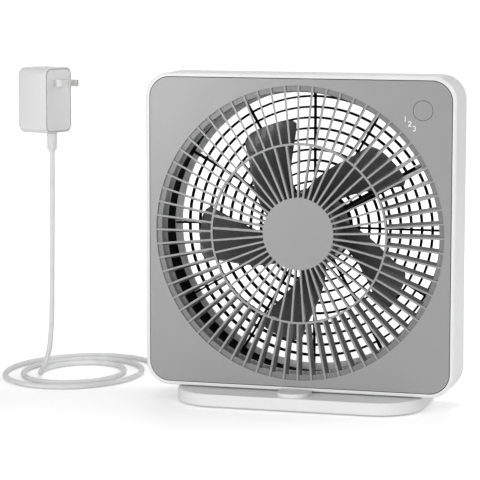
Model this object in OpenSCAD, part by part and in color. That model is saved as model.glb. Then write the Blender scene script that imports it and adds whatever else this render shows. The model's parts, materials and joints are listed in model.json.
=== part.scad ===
// Box fan of the 10 inch class, on a tilting stand, with a wall adapter and its lead.
// X to the right, Y to the rear, Z up, in millimetres. The origin is on the table,
// under the middle of the fan and its stand.

/* [Body] */
// Width and height of the square housing
body_w = 280; // [270:1:300]
// Depth of the housing, front to rear
body_d = 64; // [62:1:80]
// Radius of the housing's four long corners
corner_r = 22; // [21:1:30]
// Radius of the rounded edge round the rear face, also the tilt radius
rear_r = 20; // [18:1:20]
// Wall thickness of the white housing
wall = 3.4; // [2.8:0.1:3.6]
// Seam round the grey front panel
seam = 0.6; // [0.3:0.1:1]

/* [Front grille] */
// Radius of the round opening
opening_r = 130.3; // [120:0.1:131]
// Radius of the hub disc
hub_r = 32; // [28:1:36]
// Middle radius of the ring between the two rows of spokes
mid_ring_r = 79; // [60:1:100]
// Spokes between hub disc and ring
inner_spokes = 45; // [30:1:60]
// Spokes between ring and rim
outer_spokes = 64; // [40:1:80]
// Width of one spoke
spoke_w = 1.7; // [1.2:0.1:2.2]
// Depth of the inner spokes and the ring
inner_d = 4.5; // [3:0.5:7]
// Depth of the outer spokes
spoke_d = 7.5; // [5:0.5:9]
// Sideways lean of the outer spokes, from their front edge to their rear edge
spoke_lean = 2; // [0:0.1:3]
// Inner radius of the sunk ledge round the opening
ledge_r = 125.7; // [115:0.1:128]

/* [Impeller] */
// Number of blades
blades = 5; // [3:1:7]
// Radius of the blade tips
tip_r = 99.5; // [80:0.1:110]
// Radius of the hub cup
cup_r = 34; // [30:1:36]

/* [Rear grille] */
// Radius of the round opening in the rear wall
rear_open_r = 125; // [115:1:126]
// Number of concentric rings
rear_rings = 9; // [6:1:12]
// Number of radial ribs
rear_ribs = 12; // [6:1:16]

/* [Button] */
// Radius of the push button
button_r = 8.5; // [6:0.5:9]
// Distance of the button from the fan's axis, on the diagonal
button_dist = 156.3; // [150:0.1:158]

/* [Stand] */
// Width of the stand plate
stand_w = 223; // [210:1:240]
// Depth of the stand plate
stand_d = 125; // [110:1:140]
// Corner radius of the stand plate
stand_r = 40; // [20:1:50]
// Height of the stand's top face above the table
stand_h = 12; // [10:0.1:14]
// Gap between the stand and the housing
body_gap = 1; // [0.8:0.1:3]
// How far the fan head tilts back, in degrees
tilt_max = 25; // [10:1:25]

/* [Power supply] */
// Diameter of the lead
cord_d = 4.8; // [4:0.1:6]
// Height of the adapter
adapter_h = 59.8; // [50:0.2:70]
// Width of the adapter's plug face
adapter_w = 38; // [32:1:45]
// Depth of the adapter, behind the plug face
adapter_t = 34; // [26:1:40]
// Turn of the adapter about the vertical
adapter_turn = -18; // [-30:1:30]

/* [Hidden] */
$fn = 72;

white = [0.93, 0.93, 0.93];
grey = [0.62, 0.62, 0.62];
black = [0.07, 0.07, 0.08];
smoke = [0.27, 0.27, 0.28];
steel = [0.72, 0.73, 0.75];
brass = [0.80, 0.66, 0.35];
copper = [0.75, 0.42, 0.22];
board_green = [0.10, 0.38, 0.24];
eps = 0.01;

// Heights and depths that the rest hangs on
front_y = -body_d / 2;
rear_y = body_d / 2;
body_z = stand_h + body_gap;
axis_z = body_z + body_w / 2;
panel_w = body_w - 2 * (wall + seam);
panel_r = corner_r - wall - seam;
panel_t = 2.5;
rear_t = 3;
grille_back_y = front_y + spoke_d;

// Tilt hinge: its axis is the centre of the rounded lower rear edge
tilt_y = rear_y - rear_r;
tilt_z = body_z + rear_r;
bracket_x = 92;
bracket_t = 7;
bracket_w = 14;
bracket_head_r = 8;
pin_r = 3;
pin_bore_r = 1.6;
running_gap = 0.05;
washer_t = 0.8;
boss_t = 5.5;
boss_r = 9;

// Duct between the two grilles
duct_r = opening_r + 0.1;
duct_t = 1.8;
ledge_sink = 1.6;
collar_y = grille_back_y + 4;
tongue_r = 107;

// Corner screws that hold the front panel
screw_xz = body_w / 2 - 15;
screw_r = 1.5;
screw_seat_y = -16;

// Button, board and digits lie along the upper right diagonal
diagonal = 45;
board_y = -20;
board_t = 1.6;
digit_dist = 140;
digit_pitch = 5.7;
digit_h = 4.8;
digit_stroke = 0.8;
window_t = 0.6;

// Motor stack along the axis
motor_y = 24.5;
can_r = 28;
shaft_r = 2;
bearing_r = 5;
bearing_t = 4;

// Stand tray
foot_h = 0.8;
tray_wall = 2.4;
cover_t = 1.6;
tray_top_z = stand_h - tray_wall;
cover_screw_xy = [[-98, -18], [98, -18], [-60, -52], [60, -52], [-75, 50], [75, 50]];
inlet_x = -40;
inlet_z = 5.2;
jack_l = 13;
jack_w = 9;

// Lead: straight out of the plug, along the table behind the fan, into a flat loose
// spiral beside the fan, and up to the adapter
cord_r = cord_d / 2;
plug_l = 18;
plug_r = 4.4;
relief_l = 22;
coil_x = -239;
coil_y = 62;
coil_out_r = 70;
coil_in_r = 36.5;
adapter_z = 233.2;
relief_x = -248.2;
relief_y = 20;
run_points = [
    [-40, 102.5, 3.6], [-40, 106, 3.6], [-41.5, 115, 2.6], [-47.5, 124, 2.4], [-57, 130, 2.4],
    [-68, 132, 2.4], [-80, 130, 2.4], [-91, 123, 2.4], [-100, 113, 2.4], [-109, 101, 2.4], [-119, 91, 2.4],
    [-131, 84, 2.4], [-144, 81, 2.4], [-156, 84, 2.4], [-164, 91, 2.4], [-168.4, 99.3, 2.4]
];
drop_points = [
    [-248.2, 20, 213.2], [-248.2, 20, 195], [-248.4, 20, 170], [-248.7, 20, 140], [-249.1, 20, 110],
    [-249.5, 20, 80], [-250, 20, 60], [-251, 20, 45], [-252.6, 21, 33], [-256, 22.8, 21.5],
    [-260.6, 26.2, 12.8], [-265.2, 31.6, 7.2], [-269, 38.8, 3.8]
];

// ---------------------------------------------------------------- shapes

// A flat shape stood upright round the fan's axis, from depth y0 to y1
module slab(y0, y1)
    translate([0, y1, axis_z]) rotate([90, 0, 0]) linear_extrude(y1 - y0) children();

// A shape that lies on the upper right diagonal, at a distance and a side step
module on_diagonal(dist, side = 0)
    rotate(diagonal) translate([dist, side]) children();

module rounded_square(size, r) {
    square([size - 2 * r, size], center = true);
    square([size, size - 2 * r], center = true);
    for (x = [-1, 1], z = [-1, 1]) translate([x, z] * (size / 2 - r)) circle(r);
}

module rounded_rect(w, d, r) {
    square([w - 2 * r, d], center = true);
    square([w, d - 2 * r], center = true);
    for (x = [-1, 1], y = [-1, 1])
        translate([x * (w / 2 - r), y * (d / 2 - r)]) circle(r);
}

module ring(r0, r1) difference() {
    circle(r1);
    circle(r0);
}

// A quarter arc of points from angle a to a + 90
function quarter(cx, cy, r, a, n) =
    [for (i = [0 : n]) [cx + r * cos(a + 90 * i / n), cy + r * sin(a + 90 * i / n)]];

// Square tub, lying on its front: its long corners have radius rc, its rear edge re
// and its front edge rf
module tub(size, rc, re, rf, y0, y1) {
    profile = concat(
        [[0, 0]], quarter(rc - rf, rf, rf, -90, 5),
        quarter(rc - re, y1 - y0 - re, re, 0, 12), [[0, y1 - y0]]
    );
    translate([0, y0, axis_z]) rotate([-90, 0, 0])
        hull() for (x = [-1, 1], z = [-1, 1])
            translate([x, z, 0] * (size / 2 - rc)) rotate_extrude($fn = 80) polygon(profile);
}

// Closed skin over a row of loops that all have the same number of points
function centre(loop) = [for (k = [0 : 2]) [for (p = loop) p[k]] * [for (p = loop) 1] / len(loop)];

module loft(loops) {
    n = len(loops[0]);
    m = len(loops);
    points = concat([for (l = loops) each l], [centre(loops[0]), centre(loops[m - 1])]);
    sides = [for (i = [0 : m - 2], j = [0 : n - 1])
        let (a = i * n + j, b = i * n + (j + 1) % n) each [[a, b + n, b], [a, a + n, b + n]]];
    caps = [for (j = [0 : n - 1])
        each [[m * n, j, (j + 1) % n], [m * n + 1, (m - 1) * n + (j + 1) % n, (m - 1) * n + j]]];
    polyhedron(points, concat(sides, caps));
}

function unit(v) = v / norm(v);

// Round tube along a route, with a ring at each of its points and sides corners to each ring
module tube(path, r, sides = 8) {
    last = len(path) - 1;
    along = [for (i = [0 : last]) unit(path[min(i + 1, last)] - path[max(i - 1, 0)])];
    seed = abs(along[0].z) < 0.8 ? [0, 0, 1] : [1, 0, 0];
    across = [for (i = 0, v = unit(cross(along[0], seed)); i <= last;
        i = i + 1, v = i > last ? v : unit(v - (v * along[i]) * along[i])) v];
    loft([for (i = [0 : last]) let (u = across[i], w = cross(along[i], u))
        [for (k = [0 : sides - 1]) path[i] + r * (cos(360 * k / sides) * u + sin(360 * k / sides) * w)]]);
}

// A cylinder along X
module pin(x0, x1, y, z, r)
    translate([x0, y, z]) rotate([0, 90, 0]) cylinder(h = x1 - x0, r = r);

// A straight stroke of a digit
module stroke(a, b) {
    d = b - a;
    translate(a) rotate(atan2(d.y, d.x)) translate([0, -digit_stroke / 2]) square([norm(d), digit_stroke]);
}

module bowl(y, r, cut_from, cut_to) difference() {
    translate([0, y]) ring(r - digit_stroke, r);
    translate([0, y]) polygon([[0, 0], 4 * [cos(cut_from), sin(cut_from)],
        4 * [cos((cut_from + cut_to) / 2), sin((cut_from + cut_to) / 2)], 4 * [cos(cut_to), sin(cut_to)]]);
}

module digit(n) {
    half = digit_h / 2;
    if (n == 1) stroke([0, -half], [0, half]);
    if (n == 2) {
        bowl(half - 1.5, 1.5, 180, 320);
        stroke([1.0, 0.3], [-1.3, -half + 0.4]);
        stroke([-1.5, -half + 0.4], [1.5, -half + 0.4]);
    }
    if (n == 3) {
        bowl(half - 1.35, 1.35, 170, 270);
        bowl(-half + 1.45, 1.45, 90, 190);
    }
}

module digits()
    for (n = [1 : 3]) on_diagonal(digit_dist, (2 - n) * digit_pitch) rotate(-diagonal) digit(n);

// ---------------------------------------------------------------- fan head

// Outer spokes: straight vanes that lean anticlockwise towards the rear
module vanes()
    for (k = [0 : outer_spokes - 1]) about_axis(90 + 360 * k / outer_spokes)
        translate([mid_ring_r - 0.5, front_y, axis_z]) rotate([90, 0, 90])
            linear_extrude(opening_r + 1 - mid_ring_r) polygon([
                [0.2, -spoke_w / 2], [spoke_d - 0.2, spoke_lean - spoke_w / 2],
                [spoke_d - 0.2, spoke_lean + spoke_w / 2], [0.2, spoke_w / 2]
            ]);

module front_panel() color(grey) difference() {
    union() {
        slab(front_y, front_y + panel_t) difference() {
            rounded_square(panel_w, panel_r);
            circle(opening_r);
            on_diagonal(button_dist) circle(button_r + 0.35);
        }
        slab(front_y, front_y + inner_d) {
            for (k = [0 : inner_spokes - 1]) rotate(90 + 360 * k / inner_spokes)
                translate([hub_r - 1, -spoke_w / 2]) square([mid_ring_r - hub_r + 1, spoke_w]);
            ring(mid_ring_r - 0.9, mid_ring_r + 0.9);
        }
        vanes();
        slab(front_y, grille_back_y) ring(hub_r - 2, hub_r);
        slab(front_y, front_y + panel_t) circle(hub_r);
        // Sunk ledge, its collar and the lip inside the collar
        slab(front_y + ledge_sink, grille_back_y) ring(ledge_r, duct_r + duct_t);
        slab(grille_back_y - 1, collar_y) ring(ledge_r, ledge_r + 1.8);
        slab(collar_y, collar_y + 1.8) ring(ledge_r - 1.8, ledge_r + 1.8);
        // Screw bosses, sleeve of the button and posts of the circuit board
        slab(front_y + 1, grille_back_y) {
            for (x = [-1, 1], z = [-1, 1]) translate([x, z] * screw_xz) circle(4);
            on_diagonal(button_dist) ring(button_r + 1.9, button_r + 3.1);
        }
        slab(front_y + 1, board_y) for (s = [-1, 1]) on_diagonal(165, s * 15) circle(3);
    }
    slab(front_y + 1.2, grille_back_y + 1)
        for (x = [-1, 1], z = [-1, 1]) translate([x, z] * screw_xz) circle(screw_r + running_gap);
    slab(front_y + 3, board_y + 1) for (s = [-1, 1]) on_diagonal(165, s * 15) circle(1.05);
    slab(front_y - 1, front_y + window_t) digits();
}

module speed_marks() color("white") slab(front_y, front_y + window_t) digits();

module rear_shell() color(white) difference() {
    tub(body_w, corner_r, rear_r, 2, front_y, rear_y);
    // The hollow, less the columns of the corner screws and the hinge bosses
    difference() {
        tub(body_w - 2 * wall, corner_r - wall, rear_r - wall, 1, front_y - 10, rear_y - rear_t);
        slab(grille_back_y + 0.2, rear_y)
            for (x = [-1, 1], z = [-1, 1]) translate([x, z] * screw_xz) circle(5.2);
        for (s = [-1, 1], t = [-1, 1])
            hinge_boss(s * bracket_x + t * (bracket_t / 2 + washer_t + 0.2 + boss_t / 2));
    }
    // Rear opening, with a tongue that carries the end of the lead's channel
    slab(rear_y - rear_t - 1, rear_y + 1) difference() {
        circle(rear_open_r);
        rotate(30) translate([tongue_r, -3.5]) square([rear_open_r - tongue_r + 1, 7]);
    }
    slab(screw_seat_y, rear_y + 1) for (x = [-1, 1], z = [-1, 1]) translate([x, z] * screw_xz) circle(3.6);
    slab(grille_back_y - 1, screw_seat_y + 1)
        for (x = [-1, 1], z = [-1, 1]) translate([x, z] * screw_xz) circle(screw_r + 0.2);
    for (s = [-1, 1]) {
        tilt_slot(s * bracket_x);
        pin(s * bracket_x - 14, s * bracket_x + 14, tilt_y, tilt_z, pin_r);
    }
}

module hinge_boss(x) {
    translate([x - boss_t / 2, tilt_y - boss_r, body_z + 1]) cube([boss_t, 2 * boss_r, rear_r - 1]);
    pin(x - boss_t / 2, x + boss_t / 2, tilt_y, tilt_z, boss_r);
}

// Slot that a hinge bracket sweeps through as the head tilts
module tilt_slot(x) {
    g = 0.6;
    n = bracket_w / 2 + g;
    a = tilt_max + 1;
    reach = 30;
    translate([x - bracket_t / 2 - g, tilt_y, tilt_z]) rotate([90, 0, 90]) linear_extrude(bracket_t + 2 * g)
        polygon([
            [-n, 0], [n * cos(a), n * sin(a)],
            [n * cos(a) + reach * sin(a), n * sin(a) - reach * cos(a)], [-n, -reach]
        ]);
}

// Inside of the housing from one side to the other, with its two rounded rear edges
module rear_section() {
    r = rear_r - wall - 0.1;
    x = body_w / 2 - rear_r;
    translate([-x - r, front_y]) square([2 * (x + r), body_d - rear_r]);
    translate([-x, front_y]) square([2 * x, body_d - rear_t]);
    for (s = [-1, 1]) translate([s * x, rear_y - rear_r]) circle(r);
}

// What lies clear of the shell's rounded rear edge
module inside_shell() intersection() {
    children();
    translate([0, 0, body_z]) linear_extrude(body_w) rear_section();
    translate([0, 0, axis_z]) rotate([90, 0, 90])
        linear_extrude(body_w, center = true) rotate(-90) rear_section();
}

module duct_ring() color(black) difference() {
    inside_shell() slab(grille_back_y, rear_y - rear_t) ring(duct_r, duct_r + duct_t);
    // Hole that the motor lead passes through
    slab(20, 27) rotate(30) translate([duct_r - 2, -2.5]) square([6, 5]);
}

module ribs(r0, r1)
    for (k = [0 : rear_ribs - 1]) rotate(360 * k / rear_ribs) translate([r0, -0.8]) square([r1 - r0, 1.6]);

module rear_grille() {
    pitch = 9.6;
    first = 40.8;
    front = rear_y - 5;
    color(black) difference() {
        union() {
            slab(front, rear_y - 0.5) {
                for (k = [0 : rear_rings - 1]) ring(first + k * pitch - 0.9, first + k * pitch + 0.9);
                ribs(34, rear_open_r - 0.4);
                circle(35);
                rotate(30) translate([34, -3.5]) square([tongue_r - 34.5, 7]);
            }
            // Ends of the ribs, against the inside of the rear wall
            inside_shell() slab(front - 2, rear_y - rear_t) ribs(118, duct_r - 0.4);
        }
        // Room for the shell's tongue, groove of the motor lead, and screw holes
        slab(front - 3, rear_y) rotate(30) translate([tongue_r, -4]) square([30, 8]);
        slab(front - 1, front + 2.4) rotate(30) translate([10, -1.6]) square([tongue_r, 3.2]);
        slab(front - 1, rear_y + 1) for (k = [0 : 2]) rotate(90 + 120 * k) translate([20, 0]) circle(1.6);
        slab(rear_y - 2.4, rear_y + 1) for (k = [0 : 2]) rotate(90 + 120 * k) translate([20, 0]) circle(3.2);
    }
}

module hinge_pins() color(steel) difference() {
    for (s = [-1, 1]) pin(s * bracket_x - 10.5, s * bracket_x + 10.5, tilt_y, tilt_z, pin_r);
    for (s = [-1, 1]) {
        pin(s * bracket_x - 12, s * bracket_x + 12, tilt_y, tilt_z, pin_bore_r);
        // Window that lets the lead in from below
        translate([s * bracket_x - 2, tilt_y - 2.2, tilt_z - 5]) cube([4, 4.4, 5]);
    }
}

module friction_washers() color(steel)
    for (s = [-1, 1], t = [-1, 1]) {
        x = s * bracket_x + t * (bracket_t / 2 + 0.1 + washer_t / 2);
        difference() {
            pin(x - washer_t / 2, x + washer_t / 2, tilt_y, tilt_z, 6.5);
            pin(x - washer_t, x + washer_t, tilt_y, tilt_z, pin_r + running_gap);
        }
    }

module panel_screws() color(steel) {
    slab(screw_seat_y, screw_seat_y + 2.2)
        for (x = [-1, 1], z = [-1, 1]) translate([x, z] * screw_xz) difference() {
            circle(3);
            square([3.6, 0.8], center = true);
            square([0.8, 3.6], center = true);
        }
    slab(screw_seat_y - 12, screw_seat_y + 1)
        for (x = [-1, 1], z = [-1, 1]) translate([x, z] * screw_xz) circle(screw_r);
}

// ---------------------------------------------------------------- electronics

module control_board() color(board_green) slab(board_y, board_y + board_t) difference() {
    on_diagonal(153.5) square([33, 40], center = true);
    for (s = [-1, 1]) on_diagonal(165, s * 15) circle(1.15);
}

module board_parts() {
    color(black) slab(board_y + board_t, board_y + board_t + 1.4) {
        on_diagonal(150, -9) square([5, 7], center = true);
        on_diagonal(158, -5) square([3, 3], center = true);
    }
    color(steel) slab(board_y + board_t, board_y + board_t + 7) on_diagonal(151, 4) circle(3);
    color(white) slab(board_y + board_t, board_y + board_t + 5) on_diagonal(163) square([5, 8], center = true);
    color(white) slab(board_y - 0.8, board_y)
        for (n = [-1 : 1]) on_diagonal(digit_dist, n * digit_pitch) square([2, 1.4], center = true);
}

module tact_switch() color(black) difference() {
    slab(board_y - 3.5, board_y) on_diagonal(button_dist) square([6, 6], center = true);
    slab(board_y - 4, board_y - 1) on_diagonal(button_dist) circle(1.8);
}

module light_guide() color([0.85, 0.9, 0.92]) difference() {
    slab(front_y + panel_t, board_y - 1) on_diagonal(digit_dist + 0.2) square([5.2, 17], center = true);
    slab(board_y - 4, board_y) for (n = [-1 : 1]) on_diagonal(digit_dist, n * digit_pitch) circle(1.2);
}

module board_screws() color(steel) {
    slab(board_y + board_t, board_y + board_t + 1.6) for (s = [-1, 1]) on_diagonal(165, s * 15) difference() {
        circle(2.2);
        square([2.6, 0.6], center = true);
    }
    slab(board_y - 6, board_y + board_t + 0.5) for (s = [-1, 1]) on_diagonal(165, s * 15) circle(1);
}

// Supply lead, from the hollow hinge pin up the right-hand wall to the board
module head_lead() color(black)
    tube([
        [92.5, tilt_y, tilt_z + 0.3], [86, tilt_y, tilt_z + 0.3], [80, tilt_y, tilt_z + 0.6], [76.5, 9, 36],
        [78, 0, 39], [88, -8, 40], [104, -11, 44], [118, -13, 54], [127, -14, 68], [132.5, -14, 84],
        [135.2, -14, 105], [135.4, -14, 130], [135.4, -14, 153], [135.4, -14, 180], [135.2, -14, 205],
        [134, -14, 220], [130.5, -14, 235], [127.5, -14.5, 245], [125, -15.6, 255],
        [122.5, -15.9, 262.7], [119.7, -15.9, 265.5]
    ], 1);

// Motor lead, along the groove of the rear grille, out through the duct and up to the board
module motor_lead() color(black)
    tube([
        [10.4, 24.2, 159], [12.1, 25.4, 160], [14.3, 27.1, 161.3], [17.5, 28.1, 163.1], [32, 28.1, 171.5],
        [50, 28.1, 181.9], [70, 28.1, 193.4], [90, 28.1, 205], [102, 27.6, 211.9],
        [108, 26, 215.4], [112.5, 24.2, 218], [117.5, 23.5, 220.9], [121, 20, 223.6], [121.5, 12, 229],
        [120.5, 2, 236], [119, -7, 245], [120.5, -12.5, 254], [120.6, -15.9, 260.9],
        [117.8, -15.9, 263.8]
    ], 0.9);

// ---------------------------------------------------------------- motor and impeller

module motor_base() color(black) difference() {
    slab(motor_y, rear_y - 5) circle(26);
    slab(motor_y - 1, rear_y) circle(bearing_r + 2);
    slab(motor_y - 1, rear_y) for (k = [0 : 2]) rotate(90 + 120 * k) translate([20, 0]) circle(screw_r + 0.05);
    slab(motor_y - 1, rear_y) rotate(30) translate([16, 0]) square([9, 5], center = true);
}

module bearing_tube() color(brass) slab(2.5, rear_y - 5) ring(bearing_r, bearing_r + 2);

module bearing(y) color(steel) {
    slab(y, y + bearing_t) ring(shaft_r + 0.02, bearing_r - 0.01);
}

module front_bearing() bearing(2.5);

module rear_bearing() bearing(21);

module stator_core() color(steel) slab(7, 18) {
    ring(bearing_r + 2.02, 11);
    for (k = [0 : 8]) rotate(40 * k) {
        translate([10, -1.6]) square([9, 3.2]);
        intersection() {
            ring(18.5, 21.5);
            translate([18, -5]) square([5, 10]);
        }
    }
}

module stator_coils() color(copper)
    for (k = [0 : 8]) slab(4.5, 20.5) rotate(40 * k) difference() {
        translate([11.6, -3.3]) square([6.2, 6.6]);
        translate([11, -1.65]) square([8, 3.3]);
    }

module motor_board() color(board_green) slab(21.6, 23.2) ring(bearing_r + 2.3, 22);

module motor_screws() color(steel) {
    slab(rear_y - 2.4, rear_y - 0.6) for (k = [0 : 2]) rotate(90 + 120 * k) translate([20, 0]) difference() {
        circle(3);
        square([3.6, 0.8], center = true);
        square([0.8, 3.6], center = true);
    }
    slab(motor_y + 0.2, rear_y - 1) for (k = [0 : 2]) rotate(90 + 120 * k) translate([20, 0]) circle(screw_r);
}

// One sickle blade: it sweeps forward towards the tip, and its leading side lies to the rear
blade_root_r = cup_r - 1;
blade_stations = 13;
blade_mid_y = 1;
blade_t = 2.3;
function blade_share(r) = (tip_r - r) / (tip_r - blade_root_r);
function blade_mid(r) = 39.3 + 30 * pow(blade_share(r), 1.7);
function blade_tip(r) = max(0, (r - tip_r + 6) / 6);
function blade_half(r) = (14 + 8 * pow(blade_share(r), 2)) * sqrt(1 - 0.6 * pow(blade_tip(r), 2.6));
function blade_slope(r) = 0.42 + 0.34 * blade_share(r);
function blade_loop(r) = let (half = blade_half(r), us = [-1, -0.92, -0.6, -0.2, 0.2, 0.6, 0.92, 1])
    [for (side = [1, -1], k = [0 : len(us) - (side > 0 ? 1 : 2)]) if (side > 0 || k > 0)
        let (u = side * us[k], a = blade_mid(r) + u * half,
            t = blade_t / 2 * side * sqrt(max(0, 1 - u * u)),
            y = blade_mid_y - blade_slope(r) * r * (u * half) * PI / 180 + t)
        [r * cos(a), y, axis_z + r * sin(a)]];

module blade() loft([for (i = [0 : blade_stations - 1])
    blade_loop(blade_root_r + (tip_r - blade_root_r) * (1 - pow(1 - i / (blade_stations - 1), 1.5)))]);

module about_axis(a) translate([0, 0, axis_z]) rotate([0, -a, 0]) translate([0, 0, -axis_z]) children();

module impeller() color(smoke) {
    difference() {
        translate([0, -12, axis_z]) rotate([-90, 0, 0]) rotate_extrude() polygon(concat(
            [[0, 0], [cup_r - 8, 0]], quarter(cup_r - 7, 7, 7, -90, 8), [[cup_r, 34], [0, 34]]
        ));
        slab(1, 23) circle(can_r + 0.02);
        slab(-13, 2) circle(shaft_r);
        slab(-13, -4) circle(7);
    }
    for (k = [0 : blades - 1]) about_axis(360 / blades * k) blade();
}

module rotor_can() color(steel) difference() {
    slab(1, 21) circle(can_r);
    slab(2.2, 22) circle(can_r - 1.2);
    slab(0, 3) circle(shaft_r);
}

module magnet_ring() color([0.25, 0.25, 0.27]) slab(5, 20) ring(can_r - 4.2, can_r - 1.2);

module motor_shaft() color(steel) slab(-9.5, 25) circle(shaft_r);

module hub_nut() color(steel) slab(-8, -4) difference() {
    circle(4, $fn = 6);
    circle(shaft_r);
}

// ---------------------------------------------------------------- button

module push_button() color(grey) {
    slab(front_y, front_y + 4.6) on_diagonal(button_dist) circle(button_r);
    slab(front_y + 3.2, front_y + 4.6) on_diagonal(button_dist) circle(button_r + 1.7);
    slab(front_y + 4, board_y - 5) on_diagonal(button_dist) circle(2);
}

module switch_plunger() color(white) slab(board_y - 5, board_y - 2.4) on_diagonal(button_dist) circle(1.7);

module return_pad() color([0.55, 0.55, 0.56])
    slab(front_y + 4.6, board_y) on_diagonal(button_dist) ring(6, 7.6);

// ---------------------------------------------------------------- stand

module plate_solid(grow, z0, z1, fillet) {
    r = stand_r + grow;
    profile = concat(
        [[0, z0]], quarter(r - fillet, z0 + fillet, fillet, -90, 4),
        quarter(r - fillet, z1 - fillet, fillet, 0, 4), [[0, z1]]
    );
    hull() for (x = [-1, 1], y = [-1, 1])
        translate([x * (stand_w / 2 - stand_r), y * (stand_d / 2 - stand_r), 0])
            rotate_extrude($fn = 96) polygon(profile);
}

module tray_outline(inset) rounded_rect(stand_w - 2 * inset, stand_d - 2 * inset, stand_r - inset);

module stand_plate() color(white) difference() {
    union() {
        difference() {
            plate_solid(0, foot_h, stand_h, 1.4);
            translate([0, 0, -1]) linear_extrude(tray_top_z + 1) tray_outline(tray_wall);
        }
        translate([0, 0, foot_h + cover_t]) linear_extrude(tray_top_z - foot_h - cover_t + 1) {
            for (p = cover_screw_xy) translate(p) circle(3.5);
            for (s = [-1, 1]) translate([s * bracket_x, tilt_y])
                square([bracket_t + 5, bracket_w + 5], center = true);
        }
    }
    for (p = cover_screw_xy) translate([p.x, p.y, -1]) cylinder(h = tray_top_z, r = 1.35);
    for (s = [-1, 1]) translate([s * bracket_x, tilt_y, 10])
        cube([bracket_t + 0.1, bracket_w + 0.1, 30], center = true);
    // Hole of the power inlet, and its flat bed
    translate([inlet_x, stand_d / 2 - 5, inlet_z]) rotate([-90, 0, 0]) cylinder(h = 10, r = 3.2);
    // Way of the lead into the right-hand bracket
    translate([bracket_x - 7, tilt_y - 1.5, 6]) cube([5, 3, 3]);
}

module stand_cover() color(white) difference() {
    translate([0, 0, foot_h]) linear_extrude(cover_t) difference() {
        tray_outline(tray_wall + 0.15);
        translate([inlet_x, stand_d / 2 - tray_wall - jack_l / 2])
            square([jack_w + 0.4, jack_l + 0.6], center = true);
        for (p = cover_screw_xy) translate(p) circle(1.65);
        for (s = [-1, 1]) translate([s * bracket_x, tilt_y]) circle(1.65);
    }
    for (p = feet_xy) translate([p.x, p.y, foot_h - eps]) cylinder(h = 0.8, r = 6.1);
}

feet_xy = [for (x = [-82, 82], y = [-38, 38]) [x, y]];
foot_pad_t = 1.6;

module stand_feet() color([0.2, 0.2, 0.2])
    for (p = feet_xy) translate([p.x, p.y, 0]) cylinder(h = foot_pad_t - eps, r = 6);

module stand_weight() color(steel) translate([0, -20, foot_h + cover_t]) linear_extrude(4) difference() {
    square([150, 46], center = true);
    for (x = [-1, 1]) translate([x * 60, -23]) circle(13);
}

module cover_screw(x, y, top) {
    translate([x, y, 0.25]) cylinder(h = 0.55, r = 2.6);
    translate([x, y, 0.5]) cylinder(h = top - 0.5, r = 1.3);
}

module stand_screws() color(steel) {
    for (p = cover_screw_xy) cover_screw(p.x, p.y, 8);
    for (s = [-1, 1]) cover_screw(s * bracket_x, tilt_y, 5.2);
}

// Raised finger tab, the stop that the housing's lower lip rests behind
module stop_tab() color(white) {
    tab_w = 27.6;
    tab_r = 12;
    y0 = -59.5;
    y1 = front_y - 0.6;
    translate([0, 0, stand_h]) linear_extrude(3.2) {
        translate([-tab_w / 2, y0 + tab_r]) square([tab_w, y1 - y0 - tab_r]);
        translate([-tab_w / 2 + tab_r, y0]) square([tab_w - 2 * tab_r, tab_r + 1]);
        for (s = [-1, 1]) translate([s * (tab_w / 2 - tab_r), y0 + tab_r]) circle(tab_r);
    }
}

module bracket(x) color([0.35, 0.36, 0.38]) difference() {
    union() {
        translate([x - bracket_t / 2, tilt_y - bracket_w / 2, foot_h + cover_t])
            cube([bracket_t, bracket_w, tilt_z - foot_h - cover_t]);
        pin(x - bracket_t / 2, x + bracket_t / 2, tilt_y, tilt_z, bracket_head_r);
    }
    pin(x - bracket_t, x + bracket_t, tilt_y, tilt_z, pin_r + running_gap);
    translate([x, tilt_y, 0]) cylinder(h = 5.6, r = 1.35);
    // Channel of the lead
    translate([x, tilt_y, 6]) cylinder(h = tilt_z - 6, r = 1.5);
    translate([x - bracket_t, tilt_y - 1.5, 6]) cube([bracket_t, 3, 3]);
}

module left_bracket() bracket(-bracket_x);

module right_bracket() bracket(bracket_x);

module power_inlet() color(black) difference() {
    translate([inlet_x - jack_w / 2, stand_d / 2 - tray_wall - jack_l, foot_h + 0.2])
        cube([jack_w, jack_l, tray_top_z - foot_h - 0.3]);
    translate([inlet_x, stand_d / 2 - tray_wall - 10.5, inlet_z])
        rotate([-90, 0, 0]) cylinder(h = 12, r = 2.85);
}

// Lead inside the stand, from the inlet to the right-hand bracket and up to the hinge pin
module stand_lead() color(black)
    tube([
        [inlet_x, 47, 5.4], [-39, 40, 5.4], [-30, 30, 5.2], [-10, 22, 5], [20, 18, 5], [50, 15, 5.4],
        [70, 12.8, 6.4], [80, 12, 7.2], [88, 12, 7.4], [91.2, 12, 7.6], [92, 12, 10], [92, 12, 20],
        [92, 12, 31.2]
    ], 1);

// ---------------------------------------------------------------- lead and adapter

module dc_plug() {
    y = stand_d / 2;
    color(steel) translate([inlet_x, y - 9.5, inlet_z]) rotate([-90, 0, 0]) difference() {
        cylinder(h = 9.5, r = 2.75);
        translate([0, 0, -1]) cylinder(h = 9, r = 1.1);
    }
    color(white) translate([inlet_x, y, inlet_z]) rotate([-90, 0, 0]) cylinder(h = plug_l, r = plug_r);
}

module plug_relief() color(white) loft([for (i = [0 : 6])
    let (t = i / 6, r = plug_r - 1.2 - (plug_r - 1.2 - cord_r) * t, z = inlet_z - 1.6 * t * t)
    [for (k = [0 : 11])
        [inlet_x + r * cos(30 * k), stand_d / 2 + plug_l + relief_l * t, z + r * sin(30 * k)]]]);

module cord_run() color(white) tube(run_points, cord_r, 10);

module cord_drop() color(white) tube(drop_points, cord_r, 10);

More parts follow.
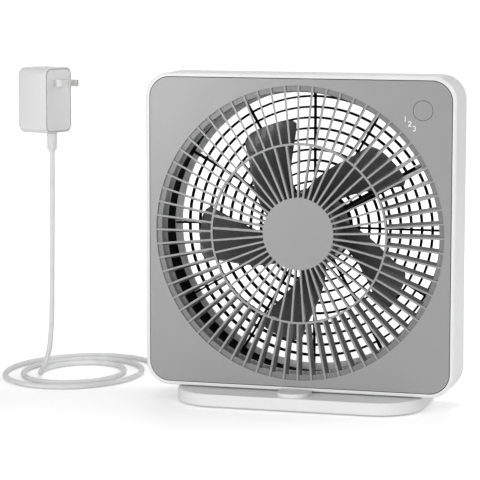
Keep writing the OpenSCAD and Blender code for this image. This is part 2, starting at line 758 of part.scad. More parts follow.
// The outer shape of the coil as one flat ring: two half circles and a straight part each
module coil_outline(x, y, r, stretch) translate([coil_x + x, coil_y + y]) {
    square([2 * r, 2 * stretch], center = true);
    for (s = [-1, 1]) translate([0, s * stretch]) circle(r);
}

module cord_coil() color(white) linear_extrude(cord_d) difference() {
    coil_outline(-1, 5, coil_out_r, 18.5);
    coil_outline(4, -5, coil_in_r, 16);
}

// The adapter's own frame: X out of the plug face, Y across it, Z up
relief_out = 8.7;
module in_adapter() translate([relief_x, relief_y, adapter_z])
    rotate(adapter_turn) translate([-relief_out, 0, 0]) children();

adapter_r = 7;
adapter_wall = 2;
cap_t = 1.5;
prong_gap = 12.7;
prong_l = 18;
prong_w = 6.35;
prong_t = 1.5;
prong_z = adapter_h - 14;

module adapter_relief() in_adapter() color(white) translate([relief_out, 0, -20])
    rotate_extrude() polygon([[0, 0], [cord_r + 0.1, 0], [cord_r + 0.1, 2.5], [4.5, 5], [4.7, 20], [0, 20]]);

// Upright box with rounded upright edges, from x0 to x1 in the adapter's frame
module adapter_block(x0, x1, inset) {
    w = adapter_w - 2 * inset;
    h = adapter_h - 2 * inset;
    r = adapter_r - inset;
    translate([x0, 0, adapter_h / 2]) rotate([90, 0, 90]) linear_extrude(x1 - x0) rounded_rect(w, h, r);
}

module adapter_case() in_adapter() color(white) {
    half = adapter_t / 2;
    difference() {
        adapter_block(-half, half - cap_t, 0);
        adapter_block(-half + adapter_wall, half - cap_t + 1, adapter_wall);
        translate([relief_out, 0, -1]) cylinder(h = 4, r = 2.5);
    }
}

module adapter_cap() in_adapter() color([0.80, 0.81, 0.81]) {
    half = adapter_t / 2;
    difference() {
        adapter_block(half - cap_t, half, 0);
        for (s = [-1, 1])
            translate([half - cap_t - 1, s * prong_gap / 2 - prong_t / 2, prong_z - prong_w / 2])
                cube([cap_t + 2, prong_t, prong_w]);
    }
}

module plug_blades() in_adapter() color(steel) {
    inner = cap_t + 5;
    tip_round = 1.6;
    straight = inner + prong_l - tip_round;
    for (s = [-1, 1]) translate([adapter_t / 2 - inner, (s * prong_gap + prong_t) / 2, prong_z])
        rotate([90, 0, 0]) linear_extrude(prong_t) {
            translate([0, -prong_w / 2]) square([straight, prong_w]);
            translate([straight - 1, tip_round - prong_w / 2])
                square([tip_round + 1, prong_w - 2 * tip_round]);
            for (z = [-1, 1]) translate([straight, z * (prong_w / 2 - tip_round)]) circle(tip_round);
        }
}

module adapter_board() in_adapter() color(board_green)
    translate([-8, -adapter_w / 2 + 3, 5]) cube([1.6, adapter_w - 6, adapter_h - 10]);

module adapter_transformer() in_adapter() color([0.75, 0.65, 0.25])
    translate([-6.4, -8, 14]) cube([13, 16, 16]);

stand_plate();
stand_cover();
stand_weight();
stand_feet();
stand_screws();
stop_tab();
left_bracket();
right_bracket();
power_inlet();
stand_lead();
front_panel();
speed_marks();
rear_shell();
duct_ring();
rear_grille();
hinge_pins();
friction_washers();
panel_screws();
control_board();
board_parts();
tact_switch();
light_guide();
board_screws();
head_lead();
motor_lead();
motor_base();
bearing_tube();
front_bearing();
rear_bearing();
stator_core();
stator_coils();
motor_board();
motor_screws();
impeller();
rotor_can();
magnet_ring();
motor_shaft();
hub_nut();
push_button();
switch_plunger();
return_pad();
dc_plug();
plug_relief();
cord_run();
cord_coil();
cord_drop();
adapter_relief();
adapter_case();
adapter_cap();
plug_blades();
adapter_board();
adapter_transformer();
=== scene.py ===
import json
from math import ceil, cos, pi, radians, sin

import bmesh
import bpy
from mathutils import Matrix, Vector


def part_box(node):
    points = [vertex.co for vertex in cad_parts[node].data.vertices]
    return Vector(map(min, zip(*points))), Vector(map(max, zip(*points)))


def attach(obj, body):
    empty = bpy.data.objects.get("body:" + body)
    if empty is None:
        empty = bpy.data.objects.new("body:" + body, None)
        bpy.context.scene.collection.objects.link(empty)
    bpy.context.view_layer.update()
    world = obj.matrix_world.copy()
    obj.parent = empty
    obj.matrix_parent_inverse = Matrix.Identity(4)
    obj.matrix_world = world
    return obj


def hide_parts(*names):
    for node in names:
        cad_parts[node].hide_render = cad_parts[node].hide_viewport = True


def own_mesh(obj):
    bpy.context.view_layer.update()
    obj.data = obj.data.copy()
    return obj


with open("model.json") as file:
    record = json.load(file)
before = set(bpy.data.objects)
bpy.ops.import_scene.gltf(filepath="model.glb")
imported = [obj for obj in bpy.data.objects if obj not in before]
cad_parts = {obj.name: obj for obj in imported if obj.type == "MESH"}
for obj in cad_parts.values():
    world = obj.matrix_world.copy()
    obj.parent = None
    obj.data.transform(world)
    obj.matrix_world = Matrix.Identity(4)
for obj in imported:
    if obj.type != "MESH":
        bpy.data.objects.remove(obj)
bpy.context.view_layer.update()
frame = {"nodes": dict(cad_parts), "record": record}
MM = 0.001


# ---------------------------------------------------------------- camera

CAMERA_PLACE = (0.5124, -2.0121, 0.4003)
AZIMUTH, ELEVATION, ROLL = radians(15.930), radians(7.0404), radians(0.0759)
LENS = 176.1
SENSOR = 36


def make_camera():
    """The photograph's viewpoint: a long lens, right of the fan and a little above it."""
    back = Vector((sin(AZIMUTH) * cos(ELEVATION), -cos(AZIMUTH) * cos(ELEVATION), sin(ELEVATION)))
    side = Vector((cos(AZIMUTH), sin(AZIMUTH), 0))
    top = back.cross(side)
    right = side * cos(ROLL) + top * sin(ROLL)
    up = top * cos(ROLL) - side * sin(ROLL)
    data = bpy.data.cameras.new("camera")
    data.sensor_width = SENSOR
    data.lens = LENS
    data.clip_start = 0.05
    data.clip_end = 60
    camera = bpy.data.objects.new("camera", data)
    turn = Matrix((right, up, back)).transposed().to_4x4()
    camera.matrix_world = Matrix.Translation(CAMERA_PLACE) @ turn
    bpy.context.scene.collection.objects.link(camera)
    bpy.context.scene.camera = camera


make_camera()


# ---------------------------------------------------------------- lead

CORD_D = 4.8 * MM
# The coil is a flat spiral: its middle, its inner radius, how much that grows in each quarter
# turn, how much longer it is from front to back, and its number of quarter turns
COIL_X, COIL_Y = -239 * MM, 62 * MM
COIL_START = 35 * MM
COIL_STEP = 4.1 * MM
COIL_LONG = 1.27
COIL_QUARTERS = 9.5
POINTS_PER_QUARTER = 4

# Millimetres: behind the fan, from the strain relief of the plug to the coil
RUN_POINTS = [
    (-40, 102.5, 3.6), (-40, 106, 3.6), (-41.5, 115, 2.6), (-47.5, 124, 2.4), (-57, 130, 2.4),
    (-68, 132, 2.4), (-80, 130, 2.4), (-91, 123, 2.4), (-100, 113, 2.4), (-109, 101, 2.4), (-119, 91, 2.4),
    (-131, 84, 2.4), (-144, 81, 2.4), (-156, 84, 2.4), (-164, 91, 2.4), (-168.4, 99.3, 2.4),
]
# Millimetres: from the strain relief of the adapter down to the coil's inner end
DROP_POINTS = [
    (-248.2, 20, 213.2), (-248.2, 20, 195), (-248.4, 20, 170), (-248.7, 20, 140), (-249.1, 20, 110),
    (-249.5, 20, 80), (-250, 20, 60), (-251, 20, 45), (-252.6, 21, 33), (-256, 22.8, 21.5),
    (-260.6, 26.2, 12.8), (-265.2, 31.6, 7.2), (-269, 38.8, 3.8), (-271.8, 49, 2.5),
]


def coil_point(quarters):
    """A point of the flat loose spiral, clockwise from above, from its inner end at the left."""
    radius = COIL_START + COIL_STEP * quarters
    turn = quarters * pi / 2
    return Vector((COIL_X - radius * cos(turn), COIL_Y + COIL_LONG * radius * sin(turn), CORD_D / 2))


def smooth_path(points, step):
    """Points at most one step apart on the smooth (Catmull-Rom) curve through the given points."""
    out = []
    for i in range(len(points) - 1):
        a, b, c, d = (points[max(0, min(j, len(points) - 1))] for j in range(i - 1, i + 3))
        parts = max(1, ceil((c - b).length / step))
        for k in range(parts):
            t = k / parts
            out.append(0.5 * (2 * b + (c - a) * t + (2 * a - 5 * b + 4 * c - d) * t * t
                              + (3 * b - a - 3 * c + d) * t ** 3))
    return out + [points[-1]]


def make_cord():
    """The lead as one curve, and the path that it follows: run, coil from its outer end, drop."""
    last = int(COIL_QUARTERS * POINTS_PER_QUARTER)
    coil = [coil_point(k / POINTS_PER_QUARTER) for k in range(last, -1, -1)]
    route = [Vector(p) * MM for p in RUN_POINTS] + coil + [Vector(p) * MM for p in reversed(DROP_POINTS)]
    path = smooth_path(route, 4 * MM)
    curve = bpy.data.curves.new("cord", "CURVE")
    curve.dimensions = "3D"
    curve.bevel_depth = CORD_D / 2
    curve.bevel_resolution = 5
    curve.use_fill_caps = True
    spline = curve.splines.new("POLY")
    spline.points.add(len(path) - 1)
    for point, place in zip(spline.points, path):
        point.co = (*place, 1)
    spline.use_smooth = True
    cord = bpy.data.objects.new("cord", curve)
    bpy.context.scene.collection.objects.link(cord)
    return cord, path


cord, cord_path = make_cord()


# ---------------------------------------------------------------- materials

class Shader:
    """A Principled material whose colour, roughness and relief come from node patterns."""

    def __init__(self, name, rough, metallic=0.0, **sockets):
        self.mat = bpy.data.materials.new(name)
        self.mat.use_nodes = True
        self.tree = self.mat.node_tree
        self.bsdf = self.tree.nodes["Principled BSDF"]
        self.bsdf.inputs["Metallic"].default_value = metallic
        self.bsdf.inputs["Roughness"].default_value = rough
        for socket, value in sockets.items():
            self.bsdf.inputs[socket.replace("_", " ")].default_value = value
        self.place = self.node("ShaderNodeTexCoord").outputs["Object"]
        self.normal = None

    def node(self, kind, **props):
        made = self.tree.nodes.new(kind)
        for key, value in props.items():
            setattr(made, key, value)
        return made

    def set(self, node, **values):
        for key, value in values.items():
            socket = node.inputs[key.replace("_", " ")]
            if isinstance(value, bpy.types.NodeSocket):
                self.tree.links.new(value, socket)
            else:
                socket.default_value = value
        return node

    def stretched(self, scale):
        """The place, stretched along an axis: a smaller number is a longer grain."""
        node = self.node("ShaderNodeMapping")
        self.set(node, Vector=self.place, Scale=scale)
        return node.outputs[0]

    def noise(self, scale, detail, stretch=None, distortion=0.0):
        node = self.node("ShaderNodeTexNoise")
        vector = self.place if stretch is None else self.stretched(stretch)
        self.set(node, Vector=vector, Scale=scale, Detail=detail, Distortion=distortion)
        return node.outputs["Fac"]

    def cells(self, scale):
        node = self.node("ShaderNodeTexVoronoi")
        self.set(node, Vector=self.place, Scale=scale)
        return node.outputs["Distance"]

    def bands(self, scale, axis, distortion, profile="SIN"):
        node = self.node("ShaderNodeTexWave", bands_direction=axis, wave_profile=profile)
        self.set(node, Vector=self.place, Scale=scale, Distortion=distortion)
        return node.outputs["Fac"]

    def times(self, a, b):
        node = self.node("ShaderNodeMath", operation="MULTIPLY")
        for socket, value in zip(node.inputs, (a, b)):
            self.tree.links.new(value, socket)
        return node.outputs[0]

    def span(self, value, low, high, start=0.3, end=0.7):
        """The pattern's range start..end, spread over low..high."""
        node = self.node("ShaderNodeMapRange")
        for i, v in enumerate((start, end, low, high)):
            node.inputs[i + 1].default_value = v
        self.tree.links.new(value, node.inputs[0])
        return node.outputs[0]

    def mix(self, factor, a, b):
        node = self.node("ShaderNodeMix", data_type="RGBA")
        self.tree.links.new(factor, node.inputs[0])
        for index, value in ((6, a), (7, b)):
            if isinstance(value, bpy.types.NodeSocket):
                self.tree.links.new(value, node.inputs[index])
            else:
                node.inputs[index].default_value = (*value, 1)
        return node.outputs[2]

    def colour(self, value):
        self.tree.links.new(value, self.bsdf.inputs["Base Color"])

    def roughness(self, value):
        self.tree.links.new(value, self.bsdf.inputs["Roughness"])

    def relief(self, height, depth, strength):
        """Adds a bump of this depth in metres on top of what is there."""
        node = self.node("ShaderNodeBump")
        self.set(node, Height=height, Distance=depth, Strength=strength)
        if self.normal is not None:
            self.tree.links.new(self.normal, node.inputs["Normal"])
        self.normal = node.outputs[0]
        self.tree.links.new(self.normal, self.bsdf.inputs["Normal"])

    def soft_edges(self, radius):
        """Rounds the shading over sharp moulded edges."""
        node = self.node("ShaderNodeBevel", samples=4)
        self.set(node, Radius=radius)
        self.normal = node.outputs[0]
        self.tree.links.new(self.normal, self.bsdf.inputs["Normal"])


def shade(colour, factor):
    return tuple(min(1.0, c * factor) for c in colour)


def plastic(name, colour, rough, grain, depth, spread, edge, recess_shade=None, **sockets):
    """Moulded plastic: faint flow clouds, spark-eroded grain, and uneven gloss from handling.
    Given a function of the shader that gives a mask, it paints shade into the colour: darker where the mask
    is 1."""
    s = Shader(name, rough, **sockets)
    if edge:
        s.soft_edges(edge)
    clouds = s.mix(s.noise(14, 3, distortion=0.4), shade(colour, 1 - spread), shade(colour, 1 + spread))
    specks = s.span(s.noise(2600, 1), 0.0, 1.0, 0.60, 0.74)
    skin = s.mix(specks, clouds, shade(colour, 1 - 2.2 * spread))
    # painted shade: the colour is darker where the mask is 1
    if recess_shade:
        skin = s.mix(recess_shade(s), skin, shade(colour, PAINTED_RECESS_SHADE))
    s.colour(skin)
    s.roughness(s.span(s.noise(45, 4), rough - 0.05, rough + 0.07))
    s.relief(s.noise(grain, 2), depth, 0.6)
    s.relief(s.noise(38, 1), 0.00006, 0.25)
    return s.mat


def painted_recess_shade_mask(s):
    """A mask of the front panel's walls behind its lacquered face, down to its rear lip, for the painted
    shade in that recess.
    """
    axes = s.node("ShaderNodeSeparateXYZ")
    s.set(axes, Vector=s.place)
    starts, ends = (PANEL_FACE_Y + depth for depth in PAINTED_SHADE_DEPTHS)
    behind_face = s.span(axes.outputs["Y"], 0.0, 1.0, starts, starts + PAINTED_SHADE_BLUR)
    before_lip = s.span(axes.outputs["Y"], 1.0, 0.0, ends, ends + PAINTED_SHADE_BLUR)
    return s.times(behind_face, before_lip)


def rubber(name, colour, rough, grain=900):
    """Soft rubber or flexible cable cover: matte, with rub marks and a little bloom."""
    s = Shader(name, rough, Sheen_Weight=0.15, Sheen_Roughness=0.5)
    bloom = s.span(s.noise(60, 4), 0.0, 1.0, 0.45, 0.8)
    s.colour(s.mix(bloom, shade(colour, 0.94), shade(colour, 1.06)))
    s.roughness(s.span(s.noise(120, 3), rough - 0.08, rough + 0.08))
    s.relief(s.noise(grain, 3), 0.00003, 0.5)
    return s.mat


def metal(name, colour, rough, stretch, scale, wear=0.12):
    """Turned, ground or pressed metal: fine tool lines, dull patches and small scratches."""
    s = Shader(name, rough, metallic=1.0)
    lines = s.noise(scale, 3, stretch)
    s.colour(s.mix(s.noise(70, 4), shade(colour, 1 - wear), shade(colour, 1 + wear / 2)))
    s.roughness(s.span(lines, rough - 0.08, rough + 0.14))
    s.relief(lines, 0.00001, 0.5)
    return s.mat


def circuit_board(name):
    """Green solder mask over copper traces and drilled pads."""
    s = Shader(name, 0.35, Coat_Weight=0.4, Coat_Roughness=0.2)
    traces = s.span(s.bands(190, "DIAGONAL", 1.5, "TRI"), 0.0, 1.0, 0.56, 0.60)
    pads = s.span(s.cells(260), 1.0, 0.0, 0.16, 0.20)
    mask = s.mix(traces, (0.012, 0.085, 0.04), (0.03, 0.17, 0.075))
    s.colour(s.mix(pads, mask, (0.55, 0.50, 0.42)))
    s.relief(traces, 0.00003, 0.6)
    return s.mat


def windings(name, colour, pitch):
    """Varnished wire laid side by side."""
    s = Shader(name, 0.3, metallic=0.9)
    wires = s.bands(0.5 / pitch, "Y", 0.4)
    # The colour is darker between the wires and lighter on their crests: painted shade and painted highlight
    # over the wires' relief
    s.colour(s.mix(wires, shade(colour, 0.45), shade(colour, 1.15)))
    s.roughness(s.span(s.noise(300, 3), 0.22, 0.42))
    s.relief(wires, 0.00012, 1.0)
    return s.mat


WHITE = (0.79, 0.79, 0.795)
PANEL = (0.292, 0.292, 0.294)

# Painted shade: the panel's colour is this much darker between these depths behind its face, in its recess
PAINTED_RECESS_SHADE = 0.58
PAINTED_SHADE_DEPTHS = (0.8 * MM, 7.7 * MM)
PAINTED_SHADE_BLUR = 0.5 * MM
PANEL_FACE_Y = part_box("front_panel")[0][1]

LOOKS = {
    "white_shell": plastic("white_shell", WHITE, 0.34, 1500, 0.000015, 0.012, 0.0007, Coat_Weight=0.15),
    # the grey panel's recess gets painted shade
    "grey_panel": plastic("grey_panel", PANEL, 0.34, 1900, 0.00001, 0.03, 0.0003, painted_recess_shade_mask,
                          Coat_Weight=1.0, Coat_Roughness=0.22),
    "grey_button": plastic("grey_button", shade(PANEL, 1.03), 0.42, 1900, 0.00002, 0.03, 0.0006),
    "white_print": plastic("white_print", (0.82, 0.82, 0.82), 0.4, 900, 0.00001, 0.02, 0),
    "smoke_plastic": plastic("smoke_plastic", (0.086, 0.086, 0.088), 0.30, 700, 0.00001, 0.10, 0.0004,
                             Coat_Weight=0.2),
    "black_plastic": plastic("black_plastic", (0.005, 0.005, 0.0055), 0.7, 1500, 0.00003, 0.15, 0.0003,
                             Specular_IOR_Level=0.03),
    "clear_plastic": plastic("clear_plastic", (0.75, 0.78, 0.80), 0.25, 500, 0.00001, 0.02, 0,
                             Transmission_Weight=0.7),
    "foot_rubber": rubber("foot_rubber", (0.035, 0.035, 0.036), 0.8, 600),
    "pad_rubber": rubber("pad_rubber", (0.28, 0.28, 0.29), 0.7, 600),
    "weight_steel": metal("weight_steel", (0.22, 0.21, 0.20), 0.6, (1, 1, 1), 90, 0.3),
    "bracket_steel": metal("bracket_steel", (0.16, 0.16, 0.17), 0.45, (1, 6, 1), 200),
    "screw_steel": metal("screw_steel", (0.50, 0.50, 0.51), 0.32, (1, 1, 1), 500),
    "pin_steel": metal("pin_steel", (0.60, 0.60, 0.61), 0.25, (40, 1, 1), 60),
    "core_steel": metal("core_steel", (0.36, 0.36, 0.37), 0.4, (1, 40, 1), 50),
    "magnet_black": metal("magnet_black", (0.07, 0.07, 0.075), 0.55, (1, 1, 1), 150),
    "tube_brass": metal("tube_brass", (0.62, 0.45, 0.20), 0.3, (1, 30, 1), 50),
    "coil_copper": windings("coil_copper", (0.60, 0.24, 0.10), 0.0004),
    "circuit_board": circuit_board("circuit_board"),
    "lead_cover": rubber("lead_cover", (0.02, 0.02, 0.021), 0.6),
    "white_cord": rubber("white_cord", (0.72, 0.72, 0.725), 0.5, 1400),
    "white_cord_plastic": plastic("white_cord_plastic", (0.69, 0.69, 0.695), 0.36, 1500, 0.000015, 0.012,
                                  0.0003),
    "adapter_face": plastic("adapter_face", (0.70, 0.70, 0.705), 0.5, 1200, 0.00002, 0.02, 0.0003),
    "blade_metal": metal("blade_metal", (0.88, 0.88, 0.87), 0.3, (30, 1, 1), 40),
}


def smooth_shading(mesh, sharp_from):
    mesh.shade_smooth()
    mesh.set_sharp_from_angle(angle=radians(sharp_from))


def finish_nodes():
    """Gives each CAD node the finish of its slot, and smooth shading between its sharp edges."""
    for part in frame["record"]["subparts"]:
        node = frame["nodes"][part["node"]]
        node.data.materials.clear()
        node.data.materials.append(LOOKS[part["material_slot"]])
        smooth_shading(node.data, 28)


finish_nodes()


# ---------------------------------------------------------------- pieces

SIDES = 32


def new_piece(name, bm, look, body="stand"):
    """A finished piece from a bmesh, riding on a body."""
    mesh = bpy.data.meshes.new(name)
    bmesh.ops.recalc_face_normals(bm, faces=bm.faces)
    bm.to_mesh(mesh)
    bm.free()
    mesh.materials.append(LOOKS[look])
    smooth_shading(mesh, 40)
    piece = bpy.data.objects.new(name, mesh)
    bpy.context.scene.collection.objects.link(piece)
    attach(piece, body)
    return piece


def skinned(bm, rings, ring=False):
    """The skin over a row of loops of vertices, with a cap at each end. A ring has no caps: its
    last loop joins its first."""
    for a, b in zip(rings, rings[1:] + rings[:1] if ring else rings[1:]):
        for k in range(len(a)):
            j = (k + 1) % len(a)
            bm.faces.new((a[k], a[j], b[j], b[k]))
    if not ring:
        bm.faces.new(rings[0])
        bm.faces.new(rings[-1])
    return bm


def turned(profile, place, ring=False):
    """A closed solid of revolution. profile is (distance along, radius) pairs, and place puts
    a distance along and a radial offset (a, b) in the row frame. A ring's profile runs round its
    section, back to its start."""
    bm = bmesh.new()
    turns = [2 * pi * k / SIDES for k in range(SIDES)]
    rings = [[bm.verts.new(place(along, r * cos(t), r * sin(t))) for t in turns] for along, r in profile]
    return skinned(bm, rings, ring)


def ribbed_profile(length, r0, r1, ribs, groove):
    """A taper from r0 to r1, with evenly spaced grooves cut round all but its two ends."""
    out = [(0.0, r0 * 0.94), (length * 0.02, r0)]
    pitch = length * 0.80 / ribs
    for k in range(ribs):
        start = length * 0.10 + pitch * k
        for share, sink in ((0.0, 0), (0.12, 0), (0.22, 1), (0.62, 1), (0.72, 0), (1.0, 0)):
            at = start + pitch * share
            out.append((at, r0 + (r1 - r0) * at / length - groove * sink))
    return out + [(length * 0.97, r1 + 0.1 * MM), (length, r1)]


# Rubber ring behind the button, with soft rims and a waist, which the button presses on.
# It is drawn a hair short of the button, so that their faces don't coincide.
PAD_LOW, PAD_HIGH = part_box("return_pad")
PAD_L = PAD_HIGH[1] - PAD_LOW[1]
PAD_GAP = 0.02 * MM
PAD_IN, PAD_OUT, PAD_WAIST = 6 * MM, 7.6 * MM, 7.25 * MM
PAD_RIM = 0.3 * MM


def pad_place(along, a, b):
    return ((PAD_LOW[0] + PAD_HIGH[0]) / 2 + a, PAD_LOW[1] + along, (PAD_LOW[2] + PAD_HIGH[2]) / 2 + b)


pad = new_piece(
    "button_pad",
    turned([(PAD_RIM, PAD_OUT), (PAD_GAP, PAD_OUT - PAD_RIM), (PAD_GAP, PAD_IN + PAD_RIM), (PAD_RIM, PAD_IN),
            (PAD_L - PAD_RIM, PAD_IN), (PAD_L, PAD_IN + PAD_RIM), (PAD_L, PAD_OUT - PAD_RIM),
            (PAD_L - PAD_RIM, PAD_OUT), (PAD_L * 0.66, PAD_OUT), (PAD_L * 0.60, PAD_WAIST),
            (PAD_L * 0.40, PAD_WAIST), (PAD_L * 0.34, PAD_OUT)], pad_place, ring=True),
    "pad_rubber", "fan_head")
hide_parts("return_pad")
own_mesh(pad)

# Low voltage plug, from its barrel in the stand's rear edge to the strain relief, where the lead's
# own route starts
PLUG_X, PLUG_Z = -40 * MM, 5.2 * MM
BARREL_Y = 53.1 * MM
HANDLE_Y = 62.5 * MM
RELIEF_Y = 80.5 * MM
RELIEF_L = 22 * MM
RELIEF_SINKS = 1.6 * MM


def plug_relief_place(along, a, b):
    return (PLUG_X + a, RELIEF_Y + along, PLUG_Z - RELIEF_SINKS * (along / RELIEF_L) ** 2 + b)


plug_relief = new_piece(
    "plug_strain_relief",
    turned(ribbed_profile(RELIEF_L, 3.2 * MM, 2.5 * MM, 6, 0.45 * MM), plug_relief_place), "white_cord")
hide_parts("plug_relief")


def grip_profile():
    """The handle's (distance along, radius), in millimetres: a collar, three grip grooves, a neck."""
    grooves = [(5 + 2.6 * k + step, r) for k in range(3)
               for step, r in ((0.4, 4.05), (1.2, 4.05), (1.6, 4.3), (2.6, 4.3))]
    return [(0, 3.7), (0.4, 4.1), (1.2, 4.35), (5, 4.35), *grooves[:-1], (15.5, 4.2), (17.2, 3.7), (18, 3.1)]


handle = new_piece(
    "plug_handle",
    turned([(along * MM, r * MM) for along, r in grip_profile()],
           lambda along, a, b: (PLUG_X + a, HANDLE_Y + along, PLUG_Z + b)), "white_cord_plastic")
barrel = new_piece(
    "plug_barrel",
    turned([(0, 2.3 * MM), (0.4 * MM, 2.7 * MM), (9.45 * MM, 2.7 * MM)],
           lambda along, a, b: (PLUG_X + a, BARREL_Y + along, PLUG_Z + b)), "blade_metal")
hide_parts("dc_plug")
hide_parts("dc_plug")

# Adapter: its own frame has u out of the plug face, v across it and w up, from the middle of its
# foot. The lead leaves that foot nearer the plug face.
ADAPTER_TURN = radians(-18)
LEAD_EXIT = Vector((-248.2 * MM, 20 * MM, 233.2 * MM))
LEAD_EXIT_U = 8.7 * MM
ADAPTER_T, ADAPTER_W, ADAPTER_H = 34 * MM, 38 * MM, 59.8 * MM
ADAPTER_R = 7 * MM
BACK_R = 4.5 * MM
FACE_U = ADAPTER_T / 2
SEAM_U = FACE_U - 1.5 * MM
FACE_INSET = 1.9 * MM
FACE_EDGE = 0.3 * MM
CORNER_STEPS = 7
EDGE_STEPS = 6


def in_adapter(u, v, w):
    u -= LEAD_EXIT_U
    return LEAD_EXIT + Vector((u * cos(ADAPTER_TURN) - v * sin(ADAPTER_TURN),
                               u * sin(ADAPTER_TURN) + v * cos(ADAPTER_TURN), w))


def rounded_outline(half_v, half_w, r):
    """Points round an upright rounded rectangle, as (v, w) about its middle."""
    out = []
    for sv, sw, start in ((1, 1, 0), (-1, 1, 90), (-1, -1, 180), (1, -1, 270)):
        for k in range(CORNER_STEPS + 1):
            a = radians(start + 90 * k / CORNER_STEPS)
            out.append((sv * (half_v - r) + r * cos(a), sw * (half_w - r) + r * sin(a)))
    return out


def lofted_box(layers):
    """A closed solid through upright rounded rectangles. layers are (u, inset, corner radius)."""
    bm = bmesh.new()
    rings = []
    for u, inset, r in layers:
        outline = rounded_outline(ADAPTER_W / 2 - inset, ADAPTER_H / 2 - inset, r)
        rings.append([bm.verts.new(in_adapter(u, v, w + ADAPTER_H / 2)) for v, w in outline])
    return skinned(bm, rings)


def rounded_end(flat_u, side, r, inset, corner):
    """Layers that round an end off by r, from its full size, at this inset and corner radius, to
    its flat face at flat_u. side is 1 for the end towards +u and -1 for the other one."""
    out = []
    for k in range(EDGE_STEPS + 1):
        a = radians(90 * k / EDGE_STEPS)
        shrink = r * (1 - cos(a))
        out.append((flat_u + side * r * (sin(a) - 1), inset + shrink, corner - shrink))
    return out


# The shell is rounded at the back, and turns in at the front to a groove round the plug face
case_layers = [
    *reversed(rounded_end(-FACE_U, -1, BACK_R, 0, ADAPTER_R)),
    (FACE_U - 0.9 * MM, 0, ADAPTER_R),
    (FACE_U - 0.4 * MM, 0.15 * MM, ADAPTER_R),
    (FACE_U - 0.1 * MM, 0.5 * MM, ADAPTER_R),
    (FACE_U - 0.1 * MM, 0.8 * MM, ADAPTER_R - 0.8 * MM),
    (SEAM_U - 0.3 * MM, 0.9 * MM, ADAPTER_R - 0.9 * MM),
]
case = new_piece("adapter_shell", lofted_box(case_layers), "white_cord_plastic")
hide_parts("adapter_case")

cap_layers = [
    (SEAM_U - 0.25 * MM, FACE_INSET + 0.1 * MM, ADAPTER_R - FACE_INSET - 0.1 * MM),
    *rounded_end(FACE_U, 1, FACE_EDGE, FACE_INSET, ADAPTER_R - FACE_INSET),
]
cap = new_piece("adapter_plug_face", lofted_box(cap_layers), "adapter_face")
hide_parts("adapter_cap")

# Strain relief of the adapter: a ribbed grip, then a neck down to the lead. Its profile is in shares
# of its length and radii in millimetres.
ADAPTER_RELIEF_L = 20 * MM
adapter_relief = new_piece(
    "adapter_strain_relief",
    turned([(ADAPTER_RELIEF_L * at, r * MM) for at, r in (
        (0, 4.3), (0.03, 4.1), (0.05, 4.7), (0.18, 4.7), (0.20, 4.4), (0.26, 4.4), (0.28, 4.7), (0.36, 4.65),
        (0.38, 4.35), (0.44, 4.35), (0.46, 4.6), (0.54, 4.6), (0.56, 4.3), (0.62, 4.3), (0.64, 4.55),
        (0.74, 4.5), (0.78, 4.2), (0.80, 3.4), (0.86, 2.8), (1.0, 2.5))],
           lambda along, a, b: in_adapter(LEAD_EXIT_U + a, b, -along)), "white_cord")
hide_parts("adapter_relief")

cord.data.materials.append(LOOKS["white_cord"])
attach(cord, "stand")
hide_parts("cord_run", "cord_coil", "cord_drop")


# ---------------------------------------------------------------- stage and light

# Distances from the fan where the floor's glow starts and stops growing, and its two strengths
GLOW_NEAR, GLOW_FAR = 0.30, 0.95
GLOW_LOW, GLOW_HIGH = 0.29, 0.85


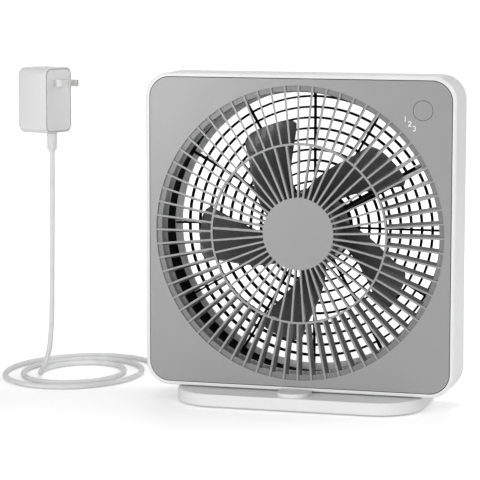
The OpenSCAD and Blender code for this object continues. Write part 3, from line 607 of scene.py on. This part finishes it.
def make_stage():
    """A white floor: to the eye it glows a little, and more away from the fan."""
    mesh = bpy.data.meshes.new("floor")
    bm = bmesh.new()
    bmesh.ops.create_grid(bm, x_segments=2, y_segments=2, size=6)
    bm.to_mesh(mesh)
    bm.free()
    s = Shader("floor", 0.6)
    s.colour(s.mix(s.noise(3, 3), (0.93, 0.93, 0.93), (0.96, 0.96, 0.96)))
    distance = s.node("ShaderNodeVectorMath", operation="LENGTH")
    s.set(distance, Vector=s.place)
    glow = s.times(s.span(distance.outputs["Value"], GLOW_LOW, GLOW_HIGH, GLOW_NEAR, GLOW_FAR),
                   s.node("ShaderNodeLightPath").outputs["Is Camera Ray"])
    s.set(s.bsdf, Emission_Color=(1, 1, 1, 1), Emission_Strength=glow)
    mesh.materials.append(s.mat)
    floor = bpy.data.objects.new("floor", mesh)
    floor.location = (0, 0, -0.3 * MM)
    bpy.context.scene.collection.objects.link(floor)


def area_light(name, place, aim, size, power):
    data = bpy.data.lights.new(name, "AREA")
    data.shape = "RECTANGLE"
    data.size, data.size_y = size
    data.energy = power
    light = bpy.data.objects.new(name, data)
    direction = Vector(aim) - Vector(place)
    light.matrix_world = Matrix.Translation(place) @ direction.to_track_quat("-Z", "Y").to_matrix().to_4x4()
    bpy.context.scene.collection.objects.link(light)


# The backdrop's brightness in the room, and what the eye sees on top of it
ROOM_LIGHT, SEEN_LIGHT = 0.28, 0.76


def make_light():
    """A white backdrop and five soft lights, the strongest of them left of the camera."""
    world = bpy.data.worlds.new("studio")
    world.use_nodes = True
    tree = world.node_tree
    background = tree.nodes["Background"]
    background.inputs["Color"].default_value = (1, 1, 1, 1)
    path = tree.nodes.new("ShaderNodeLightPath")
    level = tree.nodes.new("ShaderNodeMath")
    level.operation = "MULTIPLY_ADD"
    level.inputs[1].default_value = SEEN_LIGHT
    level.inputs[2].default_value = ROOM_LIGHT
    tree.links.new(path.outputs["Is Camera Ray"], level.inputs[0])
    tree.links.new(level.outputs[0], background.inputs["Strength"])
    bpy.context.scene.world = world
    area_light("softbox", (-1.36, -2.35, 0.72), (0, 0, 0.16), (1.3, 1.5), 31)
    area_light("front", (0.95, -2.2, 0.42), (0, 0, 0.10), (1.0, 0.7), 14)
    area_light("side", (1.6, 0.5, 0.9), (0.1, 0, 0.14), (1.2, 1.4), 12.5)
    area_light("back", (-0.7, 2.1, 1.1), (0, 0, 0.14), (1.2, 1.0), 4)
    area_light("top", (0.1, 0.2, 2.2), (0, 0, 0.1), (1.4, 1.0), 14)
    bpy.context.scene.view_settings.view_transform = "Standard"


make_stage()
make_light()
